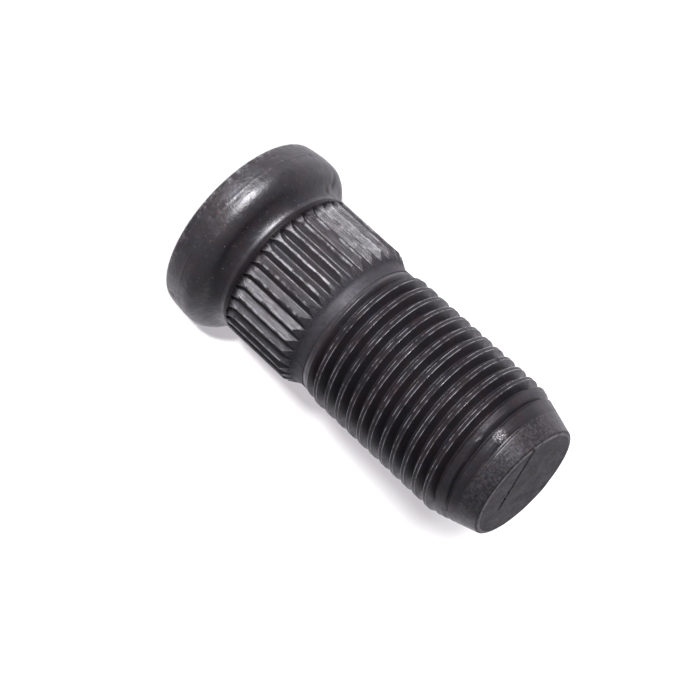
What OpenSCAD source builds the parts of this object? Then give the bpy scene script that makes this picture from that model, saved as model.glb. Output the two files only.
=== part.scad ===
// Pressed-in wheel stud with a rolled metric thread, all sizes in millimetres.
// The stud stands on the back of its head, with its axis on Z and its tip up.

/* [Head] */
// largest diameter of the head
head_d = 20.9; // [20:0.1:22]
// height of the head's widest place above the back face
rim_h = 3.0; // [2.6:0.1:3.6]
// radius of the crowned side of the head, from its widest place down to the back edge
crown_r = 7.5; // [6:0.5:12]
// radius of the rounded edge round the back face
back_edge_r = 1.0; // [0.6:0.1:1.4]
// radius of the rounded shoulder in front of the rim
shoulder_r = 1.9; // [1.6:0.1:2.2]
// height of the concave neck, from the widest place to its bottom beside the shank
neck_h = 3.4; // [3.2:0.1:3.8]
// how far the bottom of the neck lies below the shank
relief = 0.2; // [0.1:0.05:0.3]
// length over which the shank rises out of the neck
relief_l = 0.35; // [0.2:0.05:0.5]

/* [Knurl] */
// diameter over the teeth of the knurl and over the plain land beside them
knurl_d = 16.7; // [16.4:0.1:17.2]
// number of teeth round the knurl
teeth = 36; // [32:1:40]
// depth of the grooves between the teeth
groove_depth = 0.58; // [0.4:0.02:0.7]
// width of the narrow flat along the top of each tooth
crest_flat = 0.12; // [0.08:0.02:0.24]
// plain land between the neck and the pointed ends of the grooves
land_l = 0.25; // [0.15:0.05:0.8]
// length of the knurl, from the pointed ends of the grooves to the chamfer
knurl_l = 7.6; // [6:0.1:10]
// length over which a groove runs out into its point
run_out_l = 1.0; // [0.8:0.1:1.4]
// angle between the chamfer that ends the teeth and the axis
chamfer_angle = 29; // [25:1:40]

/* [Collar] */
// diameter of the plain collar, the size of the bar before the thread is rolled
collar_d = 15.06; // [14.9:0.02:15.2]
// length of the plain collar, from the chamfer to the thread
collar_l = 0.95; // [0.6:0.05:2]

/* [Thread] */
// diameter over the rolled crests
thread_d = 15.78; // [15.7:0.02:15.96]
// distance from one crest to the next
pitch = 1.5; // [1.4:0.05:1.6]
// depth of the thread from crest to root
thread_depth = 0.86; // [0.8:0.02:0.92]
// length from the end of the collar to the start of the taper
threaded_l = 17.65; // [12:0.05:26]
// height of a crest above the end of the collar, on the +X side
crest_start = 0.775; // [0.3:0.025:1.2]

/* [Tip] */
// angle between the tapered tip and the axis
tip_angle = 17; // [14:0.5:20]
// diameter at which the taper would meet the end face
tip_d = 12.64; // [12.2:0.02:13]
// radius of the rounded edge round the end face
tip_edge_r = 0.8; // [0.5:0.1:1]

/* [Hidden] */

steel = [0.17, 0.17, 0.19];

// facets round the axis and on the rounded edges
round_fn = 96;
edge_fn = 28;

// radii and heights that follow from the sizes above
head_r = head_d / 2;
knurl_r = knurl_d / 2;
collar_r = collar_d / 2;
neck_z = rim_h + neck_h;
shank_z = neck_z + relief_l;
groove_z = shank_z + land_l;
chamfer_z = groove_z + knurl_l;
collar_z = chamfer_z + (knurl_r - collar_r) / tan(chamfer_angle);
thread_z = collar_z + collar_l;
overall_l = thread_z + threaded_l + (thread_d - tip_d) / 2 / tan(tip_angle);

// The head's crowned side is an arc that touches the shoulder and the rounded back edge.
crown_x = head_r - crown_r;
back_x = crown_x + sqrt(pow(crown_r - back_edge_r, 2) - pow(rim_h - back_edge_r, 2));
crown_foot = [crown_x, rim_h]
    + crown_r / (crown_r - back_edge_r) * [back_x - crown_x, back_edge_r - rim_h];

// The shoulder and the neck are two arcs that touch, so the neck's radius follows from the shoulder's.
shoulder_x = head_r - shoulder_r;
neck_foot_r = knurl_r - relief;
neck_offset = neck_foot_r - shoulder_x;
neck_r = (neck_h * neck_h + neck_offset * neck_offset - shoulder_r * shoulder_r)
    / (2 * (shoulder_r - neck_offset));
shoulder_centre = [shoulder_x, rim_h];
neck_centre = [neck_foot_r + neck_r, neck_z];

// pitch of the teeth in degrees, and half a groove's width for each millimetre of its depth
tooth_step = 360 / teeth;
groove_slope = (knurl_r * sin(tooth_step / 2) - crest_flat / 2) / groove_depth;
// how far a groove's cutter stands out of the teeth, and its stations as parts of the run-out
groove_clear = 0.04;
run_out_parts = [0, 0.15, 0.4, 0.7, 1];

// The thread's rows per turn are given as a part of the pitch, with each row's height from root to crest.
crest_rows = [
    [0.00, 1.00],
    [0.12, 0.88],
    [0.40, 0.00],
    [0.60, 0.00],
    [0.88, 0.88]
];
rows_a_turn = len(crest_rows);
thread_steps = 36;
thread_r = thread_d / 2;
root_r = thread_r - thread_depth;

// how far the rolled body stays inside the collar and the tip, where it is hidden
sunk = 0.05;
// lengths of the thread's run-in, in pitches from the end of the collar
crest_run = 1.1;
root_from = 0.3;
root_run = 0.57;
// The rows start two turns below the first whole crest, inside the collar and the knurl.
first_row_z = thread_z + crest_start - 2 * pitch;
// The smooth part of the tip starts a little below the height where the taper meets the roots,
// or on a very blunt tip below the rounded edge.
tip_lap = 0.1;
tip_z = overall_l - max((root_r - tip_d / 2) / tan(tip_angle), 2 * tip_edge_r) - tip_lap;
// The rolled body ends inside the smooth tip, where its rows are drawn together this many times.
row_count = rows_a_turn * ceil((tip_z + 2 * tip_lap - first_row_z) / pitch);
lid_squeeze = 8;

// share of the way from a to b, kept between 0 and 1
function share(x, a, b) = min(max((x - a) / (b - a), 0), 1);
function mix(a, b, t) = a + (b - a) * t;

// radius of the tapered tip at a height
function taper_r(z) = tip_d / 2 + (overall_l - z) * tan(tip_angle);

// radius of the thread at a height, for a row that stands a given part of the way from root to crest
function rolled_r(z, part) =
    let (
        blank = collar_r - sunk,
        crest = mix(blank, thread_r, share(z, thread_z, thread_z + crest_run * pitch)),
        root = mix(blank, root_r, share(z, thread_z + root_from * pitch,
            thread_z + (root_from + root_run) * pitch)),
        hidden = sunk * share(z, tip_z - pitch / 2, tip_z)
    )
    min(mix(root, crest, part), taper_r(z) - hidden);

// height of a row of the thread at a step of the turn, with the hidden last rows drawn together
function row_z(row, step) =
    let (
        turns = floor(row / rows_a_turn) + crest_rows[row % rows_a_turn][0] + step / thread_steps,
        z = first_row_z + turns * pitch
    )
    z < tip_z ? z : tip_z + (z - tip_z) / lid_squeeze;

// section of the head and its neck
module head_section() {
    translate([back_x, back_edge_r])
        circle(r = back_edge_r, $fn = edge_fn);
    polygon([[0, 0], [back_x, 0], [back_x, back_edge_r], crown_foot, [0, rim_h]]);
    intersection() {
        translate([crown_x, rim_h])
            circle(r = crown_r, $fn = round_fn);
        translate([0, crown_foot[1]])
            square([head_r, rim_h - crown_foot[1]]);
    }
    translate(shoulder_centre)
        circle(r = shoulder_r, $fn = edge_fn);
    difference() {
        polygon([[0, rim_h], shoulder_centre, neck_centre, [0, neck_z]]);
        translate(neck_centre)
            circle(r = neck_r, $fn = edge_fn);
    }
}

// section of the plain shank under the knurl, its chamfer and the collar
module shank_section() {
    polygon([
        [0, rim_h],
        [neck_foot_r, neck_z],
        [knurl_r, shank_z],
        [knurl_r, chamfer_z],
        [collar_r, collar_z],
        [collar_r, thread_z],
        [0, thread_z]
    ]);
}

// section of the smooth end of the tip, with its rounded edge
module tip_section() {
    edge_x = tip_d / 2 - tip_edge_r * (1 - sin(tip_angle)) / cos(tip_angle);
    edge_z = overall_l - tip_edge_r;
    polygon([
        [0, tip_z],
        [taper_r(tip_z), tip_z],
        [edge_x + tip_edge_r * cos(tip_angle), edge_z + tip_edge_r * sin(tip_angle)],
        [edge_x, edge_z],
        [edge_x, overall_l],
        [0, overall_l]
    ]);
    translate([edge_x, edge_z])
        circle(r = tip_edge_r, $fn = edge_fn);
}

// one V-shaped groove of the knurl, open at the chamfer and run out on a curve at the other end
module groove() {
    // each station is a height and the depth of the groove there
    stations = concat(
        [for (part = run_out_parts)
            [groove_z + part * run_out_l,
                mix(-groove_clear / 4, groove_depth, 1 - (1 - part) * (1 - part))]],
        [[collar_z, groove_depth]]
    );
    top_x = knurl_r + groove_clear;
    last = 3 * (len(stations) - 1);
    points = [
        for (s = stations)
            let (valley_x = knurl_r - s[1], half = (top_x - valley_x) * groove_slope)
            each [[valley_x, 0, s[0]], [top_x, half, s[0]], [top_x, -half, s[0]]]
    ];
    sides = [
        for (k = [0 : 3 : last - 3], i = [0 : 2])
            let (a = k + i, b = k + (i + 1) % 3)
            each [[a, b + 3, a + 3], [a, b, b + 3]]
    ];
    polyhedron(
        points = points,
        faces = concat([[0, 2, 1]], sides, [[last, last + 1, last + 2]])
    );
}

// the rolled part: a core with a right-hand helical thread that fades out at both ends
module rolled_thread() {
    top = row_count - 1;
    points = [
        for (step = [0 : thread_steps - 1], row = [0 : top])
            let (
                z = row_z(row, step),
                r = rolled_r(z, crest_rows[row % rows_a_turn][1]),
                turn = 360 * step / thread_steps
            )
            [r * cos(turn), r * sin(turn), z]
    ];
    foot = len(points);
    lid = foot + 1;
    // Past the last step a turn closes on the row one pitch higher.
    sides = [
        for (step = [0 : thread_steps - 1], row = [0 : top - 1])
            let (
                a = step * row_count + row,
                closes = step == thread_steps - 1,
                b = closes ? row + rows_a_turn : a + row_count
            )
            if (!closes || row + rows_a_turn < top)
                each [[a, a + 1, b + 1], [a, b + 1, b]]
    ];
    foot_edge = concat(
        [for (step = [0 : thread_steps - 1]) step * row_count],
        [for (row = [rows_a_turn : -1 : 1]) row]
    );
    lid_edge = concat(
        [for (step = [0 : thread_steps - 1]) step * row_count + top],
        [for (row = [top - 1 : -1 : top - rows_a_turn]) (thread_steps - 1) * row_count + row]
    );
    foot_faces = [
        for (i = [0 : len(foot_edge) - 1])
            [foot, foot_edge[i], foot_edge[(i + 1) % len(foot_edge)]]
    ];
    lid_faces = [
        for (i = [0 : len(lid_edge) - 1])
            [lid, lid_edge[(i + 1) % len(lid_edge)], lid_edge[i]]
    ];
    polyhedron(
        points = concat(points, [
            [0, 0, row_z(0, thread_steps / 2)],
            [0, 0, row_z(top, thread_steps / 2)]
        ]),
        faces = concat(sides, foot_faces, lid_faces)
    );
}

module wheel_stud() {
    color(steel) {
        difference() {
            rotate_extrude($fn = round_fn) {
                head_section();
                shank_section();
            }
            for (i = [0 : teeth - 1])
                rotate([0, 0, (i + 0.5) * tooth_step])
                    groove();
        }
        rolled_thread();
        rotate_extrude($fn = round_fn)
            tip_section();
    }
}

wheel_stud();
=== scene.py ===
import bpy
import math
import random
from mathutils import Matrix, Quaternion, Vector, noise


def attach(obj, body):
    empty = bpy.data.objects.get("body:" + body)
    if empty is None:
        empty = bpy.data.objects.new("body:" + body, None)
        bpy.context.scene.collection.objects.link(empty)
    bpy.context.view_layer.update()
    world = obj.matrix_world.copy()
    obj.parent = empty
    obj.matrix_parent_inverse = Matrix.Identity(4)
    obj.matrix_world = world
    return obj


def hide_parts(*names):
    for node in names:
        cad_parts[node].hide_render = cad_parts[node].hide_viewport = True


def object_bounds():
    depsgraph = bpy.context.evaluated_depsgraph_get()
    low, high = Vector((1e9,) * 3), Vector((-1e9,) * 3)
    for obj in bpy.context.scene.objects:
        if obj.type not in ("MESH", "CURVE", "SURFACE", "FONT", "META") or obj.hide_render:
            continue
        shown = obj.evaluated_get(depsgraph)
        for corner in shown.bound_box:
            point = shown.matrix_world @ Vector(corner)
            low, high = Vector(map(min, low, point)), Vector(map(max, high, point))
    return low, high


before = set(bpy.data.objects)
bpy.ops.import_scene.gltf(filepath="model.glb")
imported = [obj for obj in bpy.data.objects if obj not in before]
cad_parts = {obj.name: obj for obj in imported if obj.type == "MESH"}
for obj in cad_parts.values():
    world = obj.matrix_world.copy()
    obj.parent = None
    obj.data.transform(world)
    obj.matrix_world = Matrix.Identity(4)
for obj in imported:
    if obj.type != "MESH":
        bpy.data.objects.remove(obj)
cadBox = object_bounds()
mm = 0.001
fullTurn = 2 * math.pi
print("frame loaded, the stud is", round(cadBox[1].z / mm, 2), "mm long")

# camera, turned on its side the way the stud lies in the photograph
cameraSet = {
    "place": (0.0, -228.35 * mm, 102.6 * mm),
    "lookAlong": (0.00776, 0.93726, -0.34854),
    "rollDegrees": 132.7,
    "lens": 128.57,
    "sensor": 36.0,
}


def makeCamera():
    cameraData = bpy.data.cameras.new("studioCamera")
    cameraData.lens = cameraSet["lens"]
    cameraData.sensor_width = cameraSet["sensor"]
    cameraData.clip_start = 0.01
    cameraData.clip_end = 20
    camera = bpy.data.objects.new("studioCamera", cameraData)
    bpy.context.scene.collection.objects.link(camera)
    aim = Vector(cameraSet["lookAlong"]).to_track_quat("-Z", "Y")
    roll = Quaternion((0, 0, 1), math.radians(cameraSet["rollDegrees"]))
    camera.rotation_euler = (aim @ roll).to_euler()
    camera.location = cameraSet["place"]
    bpy.context.scene.camera = camera


makeCamera()
print("camera placed")


# points of a piece that are nearer than this are one point, in millimetres
joinNear = {"turned": 0.002, "fine": 0.001, "whole": 0.0005}
# faces that meet at less than this stay smooth
smoothDegrees = 35


# small helpers for modelling by hand
def deselectEverything():
    if bpy.context.object and bpy.context.object.mode != "OBJECT":
        bpy.ops.object.mode_set(mode="OBJECT")
    bpy.ops.object.select_all(action="DESELECT")


def selectOnly(piece):
    deselectEverything()
    piece.select_set(True)
    bpy.context.view_layer.objects.active = piece


def selectVertices(piece, keep):
    bpy.ops.mesh.select_all(action="DESELECT")
    bpy.ops.object.mode_set(mode="OBJECT")
    for vertex in piece.data.vertices:
        vertex.select = keep(vertex.co)
    bpy.ops.object.mode_set(mode="EDIT")


def arc(centreX, centreZ, radius, startDegrees, endDegrees, steps):
    points = []
    for step in range(steps + 1):
        angle = math.radians(startDegrees + (endDegrees - startDegrees) * step / steps)
        points.append((centreX + radius * math.cos(angle), centreZ + radius * math.sin(angle)))
    return points


def line(start, end, steps):
    return [
        (start[0] + (end[0] - start[0]) * step / steps, start[1] + (end[1] - start[1]) * step / steps)
        for step in range(steps + 1)
    ]


def drawProfile(name, points):
    # one vertex, pulled along the section point by point, in millimetres
    deselectEverything()
    bpy.ops.mesh.primitive_plane_add(size=mm)
    piece = bpy.context.object
    piece.name = name
    bpy.ops.object.mode_set(mode="EDIT")
    bpy.ops.mesh.select_mode(type="VERT")
    bpy.ops.mesh.select_all(action="SELECT")
    bpy.ops.mesh.merge(type="CENTER")
    x, z = points[0]
    bpy.ops.transform.translate(value=(x * mm, 0, z * mm))
    for nextX, nextZ in points[1:]:
        if abs(nextX - x) + abs(nextZ - z) < 1e-4:
            continue
        step = ((nextX - x) * mm, 0, (nextZ - z) * mm)
        bpy.ops.mesh.extrude_region_move(TRANSFORM_OT_translate={"value": step})
        x, z = nextX, nextZ
    return piece


def turnProfile(name, points, columns):
    piece = drawProfile(name, points)
    bpy.ops.mesh.select_all(action="SELECT")
    bpy.ops.mesh.spin(steps=columns, angle=fullTurn, center=(0, 0, 0), axis=(0, 0, 1))
    bpy.ops.mesh.select_all(action="SELECT")
    bpy.ops.mesh.remove_doubles(threshold=joinNear["turned"] * mm)
    bpy.ops.mesh.normals_make_consistent(inside=False)
    bpy.ops.object.mode_set(mode="OBJECT")
    return piece


def combine(piece, other, operation):
    selectOnly(piece)
    modifier = piece.modifiers.new(operation.lower(), "BOOLEAN")
    modifier.operation = operation
    modifier.object = other
    modifier.solver = "MANIFOLD"
    bpy.ops.object.modifier_apply(modifier=modifier.name)
    bpy.data.objects.remove(other)


def share(value, start, end):
    return min(max((value - start) / (end - start), 0), 1)


def mix(start, end, part):
    return start + (end - start) * part


def aroundAxis(degrees, radius, z):
    # 0 degrees is the side towards the camera, and the angle grows towards -X
    angle = math.radians(degrees)
    return Vector((-radius * math.sin(angle), -radius * math.cos(angle), z)) * mm


# the forged blank: head, neck, land, chamfer and collar, all sizes in millimetres
blank = {
    "headRadius": cadBox[1].y / mm,
    "crownRadius": 15.0,
    "backEdge": 0.45,
    "widest": 3.0,
    "shoulder": 1.9,
    "neckHeight": 3.4,
    "relief": 0.2,
    "reliefEdge": 0.45,
    "stripDegrees": 11,
    "stripLength": 0.36,
    "shankRadius": 8.35,
    "chamferStart": 14.6,
    "chamferDegrees": 29,
    "chamferFoot": 1.4,
    "collarRadius": 7.53,
    "collarEnd": 17.03,
    "columns": 288,
    "flatBelow": 0.02,
    "unevenness": 0.02,
    "broadNoise": 0.9,
    "fineNoise": 3.1,
    "flashZ": 2.2,
    "flashWidth": 0.1,
    "flashHeight": 0.045,
    "flashNoise": 0.35,
}
# marks on the head: degrees round from the camera's side, height, radius and depth in millimetres
headMarks = [
    (-34.4, 5.05, 0.16, 0.10), (-57.3, 4.95, 0.14, 0.09), (-29.5, 1.0, 0.2, 0.08), (0, 0.5, 0.22, 0.08),
    (37.4, 3.7, 0.28, 0.08), (45.5, 3.2, 0.25, 0.07), (42.6, 1.2, 0.3, 0.08), (74.6, 5.4, 0.5, 0.16),
    (84, 4.6, 0.7, 0.18), (28, 0.4, 0.4, 0.1), (-8, 1.9, 0.35, 0.05), (8, 2.5, 0.3, 0.05),
    (16, 3.3, 0.25, 0.05), (66, 2.4, 0.5, 0.08), (-70, 1.3, 0.7, 0.12), (-80, 2.9, 0.5, 0.08),
    (120, 2.1, 0.6, 0.12), (163, 3.4, 0.5, 0.1), (205, 1.5, 0.45, 0.1), (238, 3.0, 0.7, 0.12),
    (146, 5.2, 0.3, 0.08), (221, 4.8, 0.35, 0.09),
]


def blankSection():
    headRadius = blank["headRadius"]
    crown = blank["crownRadius"]
    edge = blank["backEdge"]
    widest = blank["widest"]
    shoulder = blank["shoulder"]
    shank = blank["shankRadius"]
    crownX = headRadius - crown
    backX = crownX + math.sqrt((crown - edge) ** 2 - (widest - edge) ** 2)
    crownFoot = math.degrees(math.atan2(edge - widest, backX - crownX))
    shoulderX = headRadius - shoulder
    neckFoot = shank - blank["relief"]
    neckZ = widest + blank["neckHeight"]
    offset = neckFoot - shoulderX
    neck = (blank["neckHeight"] ** 2 + offset ** 2 - shoulder ** 2) / (2 * (shoulder - offset))
    touch = math.degrees(math.atan2(blank["neckHeight"], neckFoot + neck - shoulderX))
    # the neck ends in a narrow strip that still leans a little, and a step leads up to the teeth
    strip = math.radians(blank["stripDegrees"])
    stripX = neckFoot + neck * (1 - math.cos(strip)) - blank["stripLength"] * math.tan(strip)
    stripZ = neckZ - neck * math.sin(strip) + blank["stripLength"]
    stripFoot = (stripX + blank["stripLength"] * math.tan(strip), stripZ - blank["stripLength"])
    reliefEdge = blank["reliefEdge"]
    reliefTurn = math.degrees(math.acos(1 - (shank - stripX) / reliefEdge))
    reliefTop = stripZ + reliefEdge * math.sin(math.radians(reliefTurn))
    slope = math.tan(math.radians(blank["chamferDegrees"]))
    collar = blank["collarRadius"]
    foot = blank["chamferFoot"]
    footEnd = blank["chamferStart"] + (shank - collar) / slope
    footEnd += foot * math.tan(math.radians(blank["chamferDegrees"] / 2))
    section = line((0, 0), (backX, 0), 3)
    section += arc(backX, edge, edge, -90, crownFoot, 8)
    section += arc(crownX, widest, crown, crownFoot, 0, 26)
    section += arc(shoulderX, widest, shoulder, 0, touch, 12)
    section += arc(neckFoot + neck, neckZ, neck, 180 + touch, 180 + blank["stripDegrees"], 12)
    section += line(stripFoot, (stripX, stripZ), 2)
    section += arc(shank - reliefEdge, reliefTop, reliefEdge, -reliefTurn, 0, 6)
    section += line((shank, reliefTop), (shank, blank["chamferStart"]), 2)
    section += arc(collar + foot, footEnd, foot, 180 + blank["chamferDegrees"], 180, 8)
    section += line((collar, footEnd), (collar, blank["collarEnd"]), 3)
    section += [(0, blank["collarEnd"])]
    return section


def makeBlank():
    head = turnProfile("blank", blankSection(), blank["columns"])
    marks = []
    for degrees, z, size, depth in headMarks:
        marks.append((aroundAxis(degrees, 1 / mm, 0), z * mm, size * mm, depth * mm))
    neckZ = (blank["widest"] + blank["neckHeight"]) * mm
    for vertex in head.data.vertices:
        place = vertex.co
        radius = math.hypot(place.x, place.y)
        if place.z < blank["flatBelow"] * mm or place.z > neckZ:
            continue
        outwards = Vector((place.x, place.y, 0)) / radius
        ridge = math.exp(-((place.z / mm - blank["flashZ"]) / blank["flashWidth"]) ** 2)
        ridge *= 0.5 + 0.5 * noise.noise(place / mm * blank["flashNoise"])
        push = (ridge - 1) * blank["flashHeight"] * mm
        push -= blank["unevenness"] * mm * (0.5 + 0.5 * noise.noise(place / mm * blank["broadNoise"]))
        push -= 0.5 * blank["unevenness"] * mm * (0.5 + 0.5 * noise.noise(place / mm * blank["fineNoise"]))
        for direction, z, size, depth in marks:
            around = (outwards - direction).length * radius
            nearness = 1 - (around ** 2 + (place.z - z) ** 2) / size ** 2
            if nearness > 0:
                push -= depth * nearness ** 2
        vertex.co = place + outwards * push
    return head


# the knurl: one V cutter, run out on a curve, copied round the shank
knurl = {
    "teeth": 36,
    "valleyRadius": 7.71,
    "rootRound": 0.17,
    "rootSteps": 6,
    "crestFlat": 0.12,
    "clear": 0.05,
    "pointZ": 7.0,
    "runOut": 1.2,
    "runOutDegrees": 75,
    "runOutSteps": 12,
    "endZ": 16.08,
    "lengthCuts": 17,
    "longEdge": 2.0,
    "wander": 0.004,
    "ragged": 0.04,
    "seed": 7,
    "nickPlace": (55.1, 8.2, 12.41),
    "nickRadius": 0.27,
}


def makeCutter():
    valley = knurl["valleyRadius"]
    depth = blank["shankRadius"] - valley
    halfStep = math.pi / knurl["teeth"]
    slope = (blank["shankRadius"] * math.sin(halfStep) - knurl["crestFlat"] / 2) / depth
    top = depth + knurl["clear"]
    startZ = knurl["pointZ"] + knurl["runOut"]
    length = knurl["endZ"] - startZ
    deselectEverything()
    bpy.ops.mesh.primitive_cube_add(size=1, location=(0, 0, 0))
    cutter = bpy.context.object
    cutter.name = "grooveCutter"
    bpy.ops.object.mode_set(mode="EDIT")
    bpy.ops.mesh.select_all(action="SELECT")
    bpy.ops.transform.resize(value=(top * mm, 2 * top * slope * mm, length * mm))
    centre = ((valley + top / 2) * mm, 0, (startZ + length / 2) * mm)
    bpy.ops.transform.translate(value=centre)
    # the two edges nearest the axis close into the bottom of the V
    selectVertices(cutter, lambda place: place.x < (valley + 0.01) * mm)
    bpy.ops.transform.resize(value=(1, 0, 1), center_override=(valley * mm, 0, 0))
    bpy.ops.mesh.select_all(action="SELECT")
    bpy.ops.mesh.remove_doubles(threshold=joinNear["fine"] * mm)
    # a small round at the bottom of the V
    selectVertices(cutter, lambda place: place.x < (valley + 0.01) * mm)
    bpy.ops.mesh.bevel(offset=knurl["rootRound"] * mm, segments=knurl["rootSteps"], affect="EDGES")
    # the end towards the head swings outwards on a circle
    curve = (knurl["runOut"] ** 2 + depth ** 2) / (2 * depth)
    selectVertices(cutter, lambda place: place.z < (startZ + 0.01) * mm)
    bpy.ops.mesh.spin(
        steps=knurl["runOutSteps"], angle=math.radians(knurl["runOutDegrees"]),
        center=((valley + curve) * mm, 0, startZ * mm), axis=(0, 1, 0)
    )
    cutAlong(cutter)
    bpy.ops.mesh.select_all(action="SELECT")
    bpy.ops.mesh.normals_make_consistent(inside=False)
    bpy.ops.object.mode_set(mode="OBJECT")
    return cutter


def cutAlong(cutter):
    bpy.ops.mesh.select_all(action="DESELECT")
    bpy.ops.mesh.select_mode(type="EDGE")
    bpy.ops.object.mode_set(mode="OBJECT")
    places = [vertex.co for vertex in cutter.data.vertices]
    for edge in cutter.data.edges:
        first, second = edge.vertices
        edge.select = abs(places[first].z - places[second].z) > knurl["longEdge"] * mm
    bpy.ops.object.mode_set(mode="EDIT")
    bpy.ops.mesh.subdivide(number_cuts=knurl["lengthCuts"])
    bpy.ops.mesh.select_mode(type="VERT")


def cutKnurl(stud):
    cutter = makeCutter()
    chance = random.Random(knurl["seed"])
    step = fullTurn / knurl["teeth"]
    copies = []
    for tooth in range(knurl["teeth"]):
        one = cutter.copy()
        one.data = cutter.data.copy()
        bpy.context.scene.collection.objects.link(one)
        for vertex in one.data.vertices:
            atCrest = vertex.co.x > blank["shankRadius"] * mm
            sideways = knurl["ragged"] if atCrest else knurl["wander"]
            vertex.co.x += chance.uniform(-1, 1) * knurl["wander"] * mm
            vertex.co.y += chance.uniform(-1, 1) * sideways * mm
        one.rotation_euler.z = (tooth + 0.5) * step
        copies.append(one)
    bpy.data.objects.remove(cutter)
    deselectEverything()
    for one in copies:
        one.select_set(True)
    bpy.context.view_layer.objects.active = copies[0]
    bpy.ops.object.transform_apply(location=False, rotation=True, scale=False)
    bpy.ops.object.join()
    combine(stud, copies[0], "DIFFERENCE")
    deselectEverything()
    bpy.ops.mesh.primitive_uv_sphere_add(
        segments=16, ring_count=8, radius=knurl["nickRadius"] * mm, location=aroundAxis(*knurl["nickPlace"])
    )
    combine(stud, bpy.context.object, "DIFFERENCE")


# the rolled thread: one pitch of its section, wound up and then faded out at both ends
thread = {
    "pitch": 1.5,
    "turns": 16,
    "columns": 180,
    "firstCrest": 17.804,
    "crestRadius": 7.89,
    "rootRadius": 7.03,
    "blankRadius": 7.48,
    "crestRun": 1.1,
    "rootFrom": 0.3,
    "rootRun": 0.57,
    "sunk": 0.04,
    "crestWander": 0.012,
    "wanderNoise": 1.7,
    "squeezeAtTop": 8,
}
# one pitch from root to root: height in millimetres from the crest, and how much of the depth is left
threadSection = [
    (-0.75, 0.0), (-0.70, 0.02), (-0.655, 0.10), (-0.45, 0.52), (-0.29, 0.86), (-0.255, 0.945),
    (-0.225, 0.99), (-0.195, 1.0), (-0.16, 0.985), (-0.11, 0.93), (0.0, 0.86), (0.11, 0.93),
    (0.16, 0.985), (0.195, 1.0), (0.225, 0.99), (0.255, 0.945), (0.29, 0.86), (0.45, 0.52), (0.655, 0.10),
    (0.70, 0.02), (0.75, 0.0),
]
# nicks in the crests: degrees round from the camera's side, height, radius and depth in millimetres
threadNicks = [
    (-11.3, 22.06, 0.4, 0.12), (-47.8, 20.4, 0.4, 0.12), (-32, 27.9, 0.45, 0.1), (-15.1, 33.5, 0.4, 0.12),
    (26, 25.2, 0.35, 0.08), (61, 30.6, 0.4, 0.1), (2.6, 35.5, 0.5, 0.08), (-34.5, 35.5, 0.5, 0.08),
    (110, 24, 0.5, 0.12), (150, 31, 0.5, 0.12), (196, 21.5, 0.45, 0.1), (236, 28.4, 0.5, 0.12),
]

# the taper and the rounded end
tip = {
    "taperDegrees": 17,
    "endZ": cadBox[1].z / mm,
    "endRadius": 6.32,
    "edge": 0.5,
    "startZ": 37.39,
    "columns": 240,
    "faintZ": 37.55,
    "faintEnd": 38.15,
    "faintWidth": 0.07,
    "faintFadeDegrees": (-150, -40),
    "faintNoise": 0.9,
}
# the last turn is only marked on the cone: height above its middle, and depth in millimetres
faintGrooves = [(0.0, 0.07), (0.24, 0.04), (-0.2, 0.04)]


def taperRadius(z):
    return tip["endRadius"] + (tip["endZ"] - z) * math.tan(math.radians(tip["taperDegrees"]))


def rolledRadius(z, part):
    pitch = thread["pitch"]
    start = blank["collarEnd"]
    risen = share(z, start, start + thread["crestRun"] * pitch)
    crest = mix(thread["blankRadius"], thread["crestRadius"], risen)
    rootStart = start + thread["rootFrom"] * pitch
    sunken = share(z, rootStart, rootStart + thread["rootRun"] * pitch)
    root = mix(thread["blankRadius"], thread["rootRadius"], sunken)
    hidden = thread["sunk"] * share(z, tip["startZ"] - pitch / 4, tip["startZ"])
    return min(mix(root, crest, part), taperRadius(z) - hidden)


def makeThread():
    depth = thread["crestRadius"] - thread["rootRadius"]
    lowest = thread["firstCrest"] - 2 * thread["pitch"]
    points = [(thread["rootRadius"] + depth * part, lowest + height) for height, part in threadSection]
    rolled = drawProfile("rolledThread", points)
    bpy.ops.object.mode_set(mode="OBJECT")
    selectOnly(rolled)
    winding = rolled.modifiers.new("winding", "SCREW")
    winding.axis = "Z"
    winding.angle = fullTurn
    winding.screw_offset = thread["pitch"] * mm
    winding.iterations = thread["turns"]
    winding.steps = thread["columns"]
    winding.render_steps = thread["columns"]
    winding.use_merge_vertices = True
    winding.merge_threshold = joinNear["fine"] * mm
    bpy.ops.object.modifier_apply(modifier=winding.name)
    bpy.ops.object.mode_set(mode="EDIT")
    bpy.ops.mesh.select_all(action="SELECT")
    bpy.ops.mesh.remove_doubles(threshold=joinNear["fine"] * mm)
    bpy.ops.object.mode_set(mode="OBJECT")
    rollThread(rolled, depth)
    closeEnds(rolled)
    return rolled


def rollThread(rolled, depth):
    crestRadius = thread["crestRadius"]
    nicks = [(aroundAxis(degrees, crestRadius, z), size, deep) for degrees, z, size, deep in threadNicks]
    topLimit = tip["startZ"]
    for vertex in rolled.data.vertices:
        place = vertex.co / mm
        radius = math.hypot(place.x, place.y)
        part = (radius - thread["rootRadius"]) / depth
        newRadius = rolledRadius(place.z, part)
        newRadius -= thread["crestWander"] * part * (0.5 + 0.5 * noise.noise(place * thread["wanderNoise"]))
        for spot, size, deep in nicks:
            nearness = 1 - (vertex.co - spot).length_squared / (size * mm) ** 2
            if nearness > 0:
                newRadius -= deep * nearness * part
        scale = newRadius / radius
        z = place.z
        if z > topLimit:
            z = topLimit + (z - topLimit) / thread["squeezeAtTop"]
        vertex.co = Vector((place.x * scale, place.y * scale, z)) * mm


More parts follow.
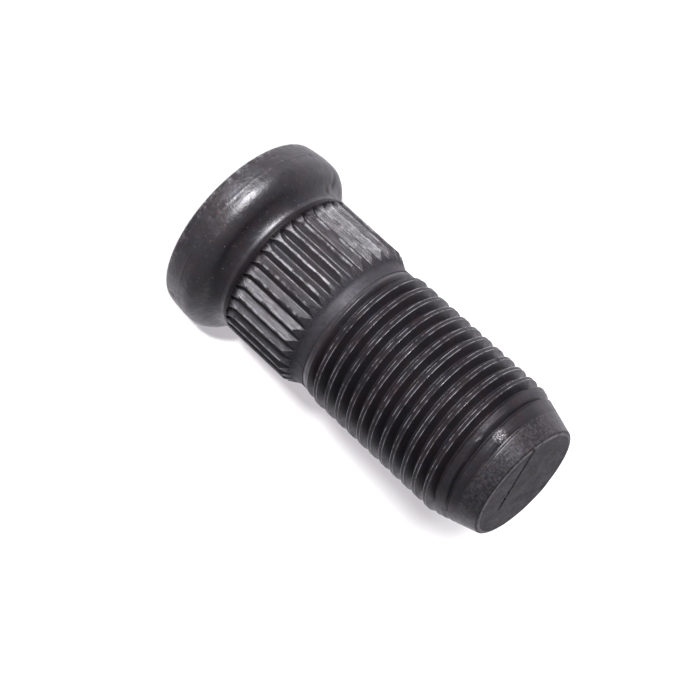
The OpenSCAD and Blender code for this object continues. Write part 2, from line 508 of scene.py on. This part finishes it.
def closeEnds(rolled):
    middle = (blank["collarEnd"] + tip["startZ"]) / 2 * mm
    for upper in (False, True):
        selectOnly(rolled)
        bpy.ops.object.mode_set(mode="EDIT")
        bpy.ops.mesh.select_all(action="DESELECT")
        bpy.ops.mesh.select_non_manifold(extend=False)
        bpy.ops.object.mode_set(mode="OBJECT")
        vertices = rolled.data.vertices
        for vertex in vertices:
            vertex.select = vertex.select and (vertex.co.z > middle) == upper
        for edge in rolled.data.edges:
            first, second = edge.vertices
            edge.select = edge.select and vertices[first].select and vertices[second].select
        for face in rolled.data.polygons:
            face.select = False
        bpy.ops.object.mode_set(mode="EDIT")
        bpy.ops.mesh.extrude_region_move(TRANSFORM_OT_translate={"value": (0, 0, 0)})
        bpy.ops.mesh.merge(type="CENTER")
    bpy.ops.mesh.select_all(action="SELECT")
    bpy.ops.mesh.normals_make_consistent(inside=False)
    bpy.ops.object.mode_set(mode="OBJECT")


def makeTip():
    degrees = tip["taperDegrees"]
    edge = tip["edge"]
    edgeX = tip["endRadius"] - edge * (1 - math.sin(math.radians(degrees))) / math.cos(math.radians(degrees))
    edgeZ = tip["endZ"] - edge
    startZ = tip["startZ"]
    section = [(0, startZ)]
    section += line((taperRadius(startZ), startZ), (taperRadius(tip["faintEnd"]), tip["faintEnd"]), 19)
    section += arc(edgeX, edgeZ, edge, degrees, 90, 10)
    section += line((edgeX, tip["endZ"]), (0, tip["endZ"]), 24)
    end = turnProfile("tip", section, tip["columns"])
    markFaintTurn(end)
    cutCrease(end)
    return end


def markFaintTurn(end):
    for vertex in end.data.vertices:
        place = vertex.co / mm
        if place.z < tip["startZ"] + 0.01 or place.z > tip["faintEnd"] - 0.01:
            continue
        degrees = math.degrees(math.atan2(-place.x, -place.y))
        middle = tip["faintZ"] - thread["pitch"] * degrees / 360
        push = 0
        for above, deep in faintGrooves:
            push += deep * math.exp(-((place.z - middle - above) / tip["faintWidth"]) ** 2)
        push *= share(degrees, *tip["faintFadeDegrees"])
        push *= 0.7 + 0.6 * noise.noise(place * tip["faintNoise"])
        outwards = Vector((place.x, place.y, 0)).normalized()
        vertex.co -= outwards * push * mm


# the crease that the shear left across the end face, drawn between two points of the face
crease = {
    "start": (-3.2, -5.5),
    "end": (3.5, -0.5),
    "halfWidth": 0.15,
    "depth": 0.28,
    "lowSide": 0.05,
    "lowSideWidth": 0.6,
    "tilt": 0.12,
    "rimHeight": 0.3,
}


def cutCrease(end):
    start = Vector((crease["start"][0], crease["start"][1], 0))
    whole = Vector((crease["end"][0], crease["end"][1], 0)) - start
    length = whole.length
    along = whole.normalized()
    across = Vector((along.y, -along.x, 0))
    top = tip["endZ"] * mm
    selectOnly(end)
    bpy.ops.object.mode_set(mode="EDIT")
    for side in (-crease["halfWidth"], 0, crease["halfWidth"]):
        selectVertices(end, lambda place: place.z > top - 0.02 * mm)
        bpy.ops.mesh.bisect(plane_co=(start + across * side) * mm, plane_no=across)
    bpy.ops.object.mode_set(mode="OBJECT")
    for vertex in end.data.vertices:
        if vertex.co.z < top - crease["rimHeight"] * mm:
            continue
        place = vertex.co / mm - start
        outside = place.dot(across)
        onCrease = share(place.dot(along), -0.3, 0.3) * share(place.dot(along), length + 0.2, length - 0.6)
        lean = (vertex.co.x - vertex.co.y) / mm / tip["endRadius"]
        lower = crease["tilt"] * (0.5 + 0.35 * lean)
        lower += crease["depth"] * onCrease * max(1 - abs(outside) / crease["halfWidth"], 0)
        if outside < 0:
            lower += crease["lowSide"] * onCrease * share(-outside, 0, crease["lowSideWidth"])
        vertex.co.z -= lower * mm * share(vertex.co.z / mm, tip["endZ"] - crease["rimHeight"], tip["endZ"])


# black oxide on steel, rubbed to bare metal where it touches things
def newNode(tree, kind, **choices):
    node = tree.nodes.new(kind)
    for name, value in choices.items():
        setattr(node, name, value)
    return node


def feed(tree, socket, value):
    if isinstance(value, bpy.types.NodeSocket):
        tree.links.new(value, socket)
    else:
        socket.default_value = value


def sums(tree, operation, *values):
    node = newNode(tree, "ShaderNodeMath", operation=operation)
    for socket, value in zip(node.inputs, values):
        feed(tree, socket, value)
    return node.outputs[0]


def times(tree, first, second):
    return sums(tree, "MULTIPLY", first, second)


def plus(tree, first, second):
    return sums(tree, "ADD", first, second)


def less(tree, first, second):
    return sums(tree, "SUBTRACT", first, second)


def larger(tree, first, second):
    return sums(tree, "MAXIMUM", first, second)


def smoothStep(tree, value, low, high, lowest=0.0, highest=1.0):
    node = newNode(tree, "ShaderNodeMapRange", interpolation_type="SMOOTHSTEP")
    for socket, given in zip(node.inputs, (value, low, high, lowest, highest)):
        feed(tree, socket, given)
    return node.outputs[0]


def blend(tree, part, first, second):
    node = newNode(tree, "ShaderNodeMix", data_type="RGBA")
    feed(tree, node.inputs[0], part)
    feed(tree, node.inputs[6], first)
    feed(tree, node.inputs[7], second)
    return node.outputs[2]


def grain(tree, place, perMm, detail=2.0, rough=0.5):
    node = newNode(tree, "ShaderNodeTexNoise")
    feed(tree, node.inputs["Vector"], place)
    feed(tree, node.inputs["Scale"], perMm / mm)
    feed(tree, node.inputs["Detail"], detail)
    feed(tree, node.inputs["Roughness"], rough)
    return node.outputs[0]


def bump(tree, height, depth, normal=None):
    node = newNode(tree, "ShaderNodeBump")
    feed(tree, node.inputs["Height"], height)
    feed(tree, node.inputs["Distance"], depth * mm)
    if normal is not None:
        feed(tree, node.inputs["Normal"], normal)
    return node.outputs[0]


# a burr where the thread runs out: degrees round from the camera's side, radius and height in millimetres
burr = {
    "place": (13.8, 7.4, 36.9),
    "size": 0.9,
}

steel = {
    "charcoal": (0.017, 0.0155, 0.018, 1),
    "brown": (0.024, 0.018, 0.020, 1),
    "blue": (0.018, 0.0185, 0.025, 1),
    "dull": (0.028, 0.027, 0.032, 1),
    # scale: the land's dark colour, a painted shade in the band between the neck and the teeth
    "scale": (0.012, 0.010, 0.011, 1),
    "endBrown": (0.024, 0.020, 0.022, 1),
    # rubbed: worn metal, also used for the painted highlight along the end's rim
    "rubbed": (0.30, 0.295, 0.30, 1),
    "bare": (0.42, 0.41, 0.41, 1),
    "rust": (0.13, 0.06, 0.045, 1),
}


# where the finish changes: heights and distances from the axis in millimetres, from none to all of it
where = {
    "knurlStart": (6.9, 7.1),
    "knurlEnd": (16.0, 15.6),
    "threadStart": (17.3, 17.8),
    "headEnd": (6.3, 6.0),
    "neckStart": (4.2, 4.9),
    "neckEnd": (6.1, 5.9),
    "landStart": (6.6, 6.75),
    "landEnd": (7.6, 7.2),
    "crestStart": (7.4, 8.0),
    "knurlCrest": (8.25, 8.34),
    "threadCrest": (7.852, 7.885),
    "collarStart": (14.9, 15.6),
    "collarEnd": (17.3, 16.9),
    "besideTeeth": (8.25, 8.1),
    "backEdge": (1.1, 0.1),
    "coneStart": (37.3, 37.8),
    "rimInside": (5.9, 6.0),
    "rimOutside": (6.3, 6.2),
}

# how rough, how shiny and how grainy each part is, beside the plain black oxide
finish = {
    "smoothest": 0.32,
    "roughest": 0.46,
    "endRougher": 0.2,
    "collarRougher": 0.2,
    "knurlRougher": 0.06,
    "crestSmoother": 0.1,
    "grainRoughness": 0.25,
    "neckDuller": 0.5,
    "landDuller": 0.8,
    "knurlDuller": 0.45,
    "collarDuller": 0.45,
    "threadDuller": 0.5,
    "endDuller": 0.25,
    "fineDepth": 0.009,
    "mediumDepth": 0.022,
    "teethDepth": 0.03,
    "threadDepth": 0.02,
}


def makeBlackSteel():
    material = bpy.data.materials.new("blackOxideSteel")
    material.use_nodes = True
    tree = material.node_tree
    shader = tree.nodes["Principled BSDF"]
    place = newNode(tree, "ShaderNodeTexCoord").outputs["Object"]
    parts = newNode(tree, "ShaderNodeSeparateXYZ")
    feed(tree, parts.inputs[0], place)
    x, y, z = parts.outputs
    heightMm = times(tree, z, 1 / mm)
    flat = newNode(tree, "ShaderNodeCombineXYZ")
    feed(tree, flat.inputs[0], x)
    feed(tree, flat.inputs[1], y)
    length = newNode(tree, "ShaderNodeVectorMath", operation="LENGTH")
    feed(tree, length.inputs[0], flat.outputs[0])
    radiusMm = times(tree, length.outputs["Value"], 1 / mm)

    # where things are, as masks along the axis
    def alongAxis(name):
        return smoothStep(tree, heightMm, *where[name])

    def fromAxis(name):
        return smoothStep(tree, radiusMm, *where[name])

    onKnurl = times(tree, alongAxis("knurlStart"), alongAxis("knurlEnd"))
    onThread = alongAxis("threadStart")
    onHead = alongAxis("headEnd")
    inNeck = times(tree, alongAxis("neckStart"), alongAxis("neckEnd"))
    onLand = times(tree, alongAxis("landStart"), alongAxis("landEnd"))
    knurlCrest = times(tree, alongAxis("crestStart"), fromAxis("knurlCrest"))
    knurlCrest = times(tree, knurlCrest, onKnurl)
    threadCrest = times(tree, onThread, fromAxis("threadCrest"))
    onCollar = times(tree, alongAxis("collarStart"), alongAxis("collarEnd"))
    onCollar = times(tree, onCollar, fromAxis("besideTeeth"))
    onBackEdge = alongAxis("backEdge")
    onCone = alongAxis("coneStart")
    onEnd = smoothStep(tree, heightMm, tip["endZ"] - 0.35, tip["endZ"] - 0.2)
    endRim = times(tree, fromAxis("rimInside"), fromAxis("rimOutside"))
    endRim = times(tree, endRim, onEnd)
    burrAway = newNode(tree, "ShaderNodeVectorMath", operation="DISTANCE")
    feed(tree, burrAway.inputs[0], place)
    feed(tree, burrAway.inputs[1], aroundAxis(*burr["place"]))
    onBurr = smoothStep(tree, burrAway.outputs["Value"], burr["size"] * mm, burr["size"] * mm / 3)

    # stretched coordinates: along the teeth on the knurl, round the axis on the thread
    alongTeeth = newNode(tree, "ShaderNodeMapping")
    feed(tree, alongTeeth.inputs["Vector"], place)
    alongTeeth.inputs["Scale"].default_value = (1, 1, 0.07)
    roundThread = newNode(tree, "ShaderNodeCombineXYZ")
    feed(tree, roundThread.inputs[0], length.outputs["Value"])
    feed(tree, roundThread.inputs[1], z)
    feed(tree, roundThread.inputs[2], times(tree, x, 0.08))

    fine = grain(tree, place, 7.0, 3.0, 0.6)
    medium = grain(tree, place, 2.2, 3.0, 0.6)
    broad = grain(tree, place, 0.35, 3.0, 0.55)
    patch = grain(tree, place, 0.8, 4.0, 0.65)
    teethStreaks = grain(tree, alongTeeth.outputs[0], 9.0, 3.0, 0.6)
    threadStreaks = grain(tree, roundThread.outputs[0], 9.0, 3.0, 0.6)
    specks = grain(tree, place, 3.4, 4.0, 0.7)
    rustSpots = grain(tree, place, 1.6, 3.0, 0.7)

    colour = blend(tree, smoothStep(tree, broad, 0.42, 0.6), steel["charcoal"], steel["brown"])
    colour = blend(tree, smoothStep(tree, patch, 0.5, 0.68), colour, steel["blue"])
    rust = times(tree, smoothStep(tree, rustSpots, 0.62, 0.72), smoothStep(tree, broad, 0.48, 0.6))
    colour = blend(tree, times(tree, rust, 0.55), colour, steel["rust"])

    # collar and end face have tones of their own, and the land is coloured darker as a painted shade where
    # the teeth start beside the neck
    colour = blend(tree, times(tree, onCollar, smoothStep(tree, medium, 0.3, 0.6)), colour, steel["dull"])
    colour = blend(tree, onLand, colour, steel["scale"])
    colour = blend(tree, onEnd, colour, steel["endBrown"])

    # rubbed edges: the crests first, broken up by the grain, then a light line round the end's rim that is
    # partly wear and partly a painted highlight, then loose bright specks
    crests = larger(tree, knurlCrest, threadCrest)
    wear = larger(tree, crests, times(tree, onBackEdge, smoothStep(tree, specks, 0.46, 0.62)))
    rubbed = times(tree, wear, smoothStep(tree, patch, 0.42, 0.6))
    mottled = times(tree, onCone, smoothStep(tree, specks, 0.42, 0.62, 0.0, 0.15))
    rubbed = larger(tree, rubbed, mottled)
    colour = blend(tree, times(tree, rubbed, 0.75), colour, steel["rubbed"])
    # a light line round the end's rounded rim: partly wear, partly a painted highlight
    rimWearAndHighlight = times(tree, endRim, smoothStep(tree, medium, 0.3, 0.55, 0.1, 0.8))
    colour = blend(tree, rimWearAndHighlight, colour, steel["rubbed"])
    speckRoom = larger(tree, wear, times(tree, onHead, 0.6))
    speck = times(tree, smoothStep(tree, specks, 0.66, 0.70), speckRoom)
    burrSpeck = times(tree, smoothStep(tree, fine, 0.5, 0.56), onBurr)
    speck = larger(tree, speck, burrSpeck)
    colour = blend(tree, speck, colour, steel["bare"])
    feed(tree, shader.inputs["Base Color"], colour)

    roughness = smoothStep(tree, patch, 0.3, 0.7, finish["smoothest"], finish["roughest"])
    roughness = plus(tree, roughness, times(tree, onEnd, finish["endRougher"]))
    roughness = plus(tree, roughness, times(tree, onCollar, finish["collarRougher"]))
    roughness = plus(tree, roughness, times(tree, onKnurl, finish["knurlRougher"]))
    roughness = less(tree, roughness, times(tree, threadCrest, finish["crestSmoother"]))
    grainy = less(tree, fine, 0.5)
    roughness = plus(tree, roughness, times(tree, grainy, finish["grainRoughness"]))
    feed(tree, shader.inputs["Roughness"], roughness)
    shader.inputs["Metallic"].default_value = 0.0
    # the sheen is full on the outside of the head and on the thread's crests, and weaker elsewhere
    sheen = less(tree, 1.0, times(tree, inNeck, finish["neckDuller"]))
    sheen = less(tree, sheen, times(tree, onLand, finish["landDuller"]))
    streaked = smoothStep(tree, teethStreaks, 0.35, 0.62, finish["knurlDuller"], 0.0)
    sheen = less(tree, sheen, times(tree, onKnurl, streaked))
    sheen = less(tree, sheen, times(tree, onCollar, finish["collarDuller"]))
    betweenCrests = times(tree, onThread, less(tree, 1.0, threadCrest))
    sheen = less(tree, sheen, times(tree, betweenCrests, finish["threadDuller"]))
    sheen = less(tree, sheen, times(tree, onEnd, finish["endDuller"]))
    feed(tree, shader.inputs["Specular IOR Level"], sheen)

    normal = bump(tree, fine, finish["fineDepth"])
    normal = bump(tree, times(tree, medium, plus(tree, onHead, 0.8)), finish["mediumDepth"], normal)
    normal = bump(tree, times(tree, teethStreaks, onKnurl), finish["teethDepth"], normal)
    normal = bump(tree, times(tree, threadStreaks, onThread), finish["threadDepth"], normal)
    feed(tree, shader.inputs["Normal"], normal)
    return material


def makeStud():
    stud = makeBlank()
    print("blank turned", len(stud.data.vertices))
    cutKnurl(stud)
    print("knurl cut", len(stud.data.vertices))
    combine(stud, makeThread(), "UNION")
    print("thread rolled", len(stud.data.vertices))
    combine(stud, makeTip(), "UNION")
    stud.name = "blackWheelStud"
    selectOnly(stud)
    bpy.ops.object.mode_set(mode="EDIT")
    bpy.ops.mesh.select_all(action="SELECT")
    bpy.ops.mesh.remove_doubles(threshold=joinNear["whole"] * mm)
    bpy.ops.object.mode_set(mode="OBJECT")
    bpy.ops.object.shade_smooth_by_angle(angle=math.radians(smoothDegrees))
    stud.data.materials.clear()
    stud.data.materials.append(makeBlackSteel())
    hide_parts("wheel_stud")
    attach(stud, "root")
    triangles = sum(len(face.vertices) - 2 for face in stud.data.polygons)
    print("tip shaped, the stud has", triangles, "triangles")


makeStud()


# pale floor and soft studio light
studio = {
    "floorSize": 6.0,
    "floorColour": (0.86, 0.86, 0.86, 1),
    "keyTowards": (-0.390, -0.905, -0.150),
    "keyDistance": 0.36,
    "keySize": 0.16,
    "keyPower": 2.1,
    "keyColour": (1.0, 0.98, 1.04),
    "tableTowards": (-0.16, 0.93, -0.33),
    "tableColour": (1.0, 0.97, 1.05, 1),
    "darkSide": 0.25,
    "brightSide": 1.1,
    "background": (0.95, 0.95, 0.95, 1),
    "floorSunTowards": (-0.054, -0.93, 0.27),
    "floorSunDegrees": 2.0,
    "floorSunStrength": 7.6,
    "floorSideTowards": (-0.11, -0.92, 0.30),
    "floorSideDegrees": 5.0,
    "floorSideStrength": 3.4,
    "floorFillStrength": 0.7,
    "floorFillColour": (1.0, 0.93, 0.92),
}


def makeFloor():
    deselectEverything()
    bpy.ops.mesh.primitive_plane_add(size=studio["floorSize"])
    floor = bpy.context.object
    floor.name = "paleFloor"
    material = bpy.data.materials.new("paleFloor")
    material.use_nodes = True
    shader = material.node_tree.nodes["Principled BSDF"]
    shader.inputs["Base Color"].default_value = studio["floorColour"]
    shader.inputs["Roughness"].default_value = 0.9
    shader.inputs["Specular IOR Level"].default_value = 0.0
    floor.data.materials.append(material)
    floor.visible_shadow = False
    floor.visible_diffuse = False
    floor.visible_glossy = False
    return floor


def lightTowards(name, kind, towards, distance, power, size):
    data = bpy.data.lights.new(name, kind)
    data.energy = power
    direction = Vector(towards).normalized()
    if kind == "AREA":
        data.shape = "DISK"
        data.size = size
    else:
        data.angle = size
    lamp = bpy.data.objects.new(name, data)
    bpy.context.scene.collection.objects.link(lamp)
    lamp.location = Vector((0, 0, cadBox[1].z / 2)) + direction * distance
    lamp.rotation_euler = direction.to_track_quat("Z", "Y").to_euler()
    lamp.visible_camera = False
    return lamp


def makeWorld():
    world = bpy.data.worlds.new("studio")
    bpy.context.scene.world = world
    world.use_nodes = True
    tree = world.node_tree
    background = tree.nodes["Background"]
    towards = newNode(tree, "ShaderNodeVectorMath", operation="DOT_PRODUCT")
    feed(tree, towards.inputs[0], newNode(tree, "ShaderNodeTexCoord").outputs["Generated"])
    feed(tree, towards.inputs[1], studio["tableTowards"])
    strength = smoothStep(tree, towards.outputs["Value"], -0.1, 0.6, studio["darkSide"], studio["brightSide"])
    feed(tree, background.inputs["Color"], studio["tableColour"])
    feed(tree, background.inputs["Strength"], strength)
    pale = newNode(tree, "ShaderNodeBackground")
    feed(tree, pale.inputs["Color"], studio["background"])
    choose = newNode(tree, "ShaderNodeMixShader")
    feed(tree, choose.inputs[0], newNode(tree, "ShaderNodeLightPath").outputs["Is Camera Ray"])
    feed(tree, choose.inputs[1], background.outputs[0])
    feed(tree, choose.inputs[2], pale.outputs[0])
    feed(tree, tree.nodes["World Output"].inputs["Surface"], choose.outputs[0])


makeWorld()
floor = makeFloor()
softbox = lightTowards(
    "softbox", "AREA", studio["keyTowards"], studio["keyDistance"], studio["keyPower"], studio["keySize"]
)
softbox.data.color = studio["keyColour"]
floorSun = lightTowards(
    "floorSun", "SUN", studio["floorSunTowards"], 0.5, studio["floorSunStrength"],
    math.radians(studio["floorSunDegrees"])
)
floorSide = lightTowards(
    "floorSide", "SUN", studio["floorSideTowards"], 0.5, studio["floorSideStrength"],
    math.radians(studio["floorSideDegrees"])
)
floorFill = lightTowards(
    "floorFill", "SUN", (0, -0.3, 1), 0.5, studio["floorFillStrength"], math.radians(60)
)
floorFill.data.color = studio["floorFillColour"]
floorOnly = bpy.data.collections.new("litByFloorLamps")
floorOnly.objects.link(floor)
floorSun.light_linking.receiver_collection = floorOnly
floorSide.light_linking.receiver_collection = floorOnly
floorFill.light_linking.receiver_collection = floorOnly
bpy.context.scene.view_settings.view_transform = "Standard"
print("studio set")
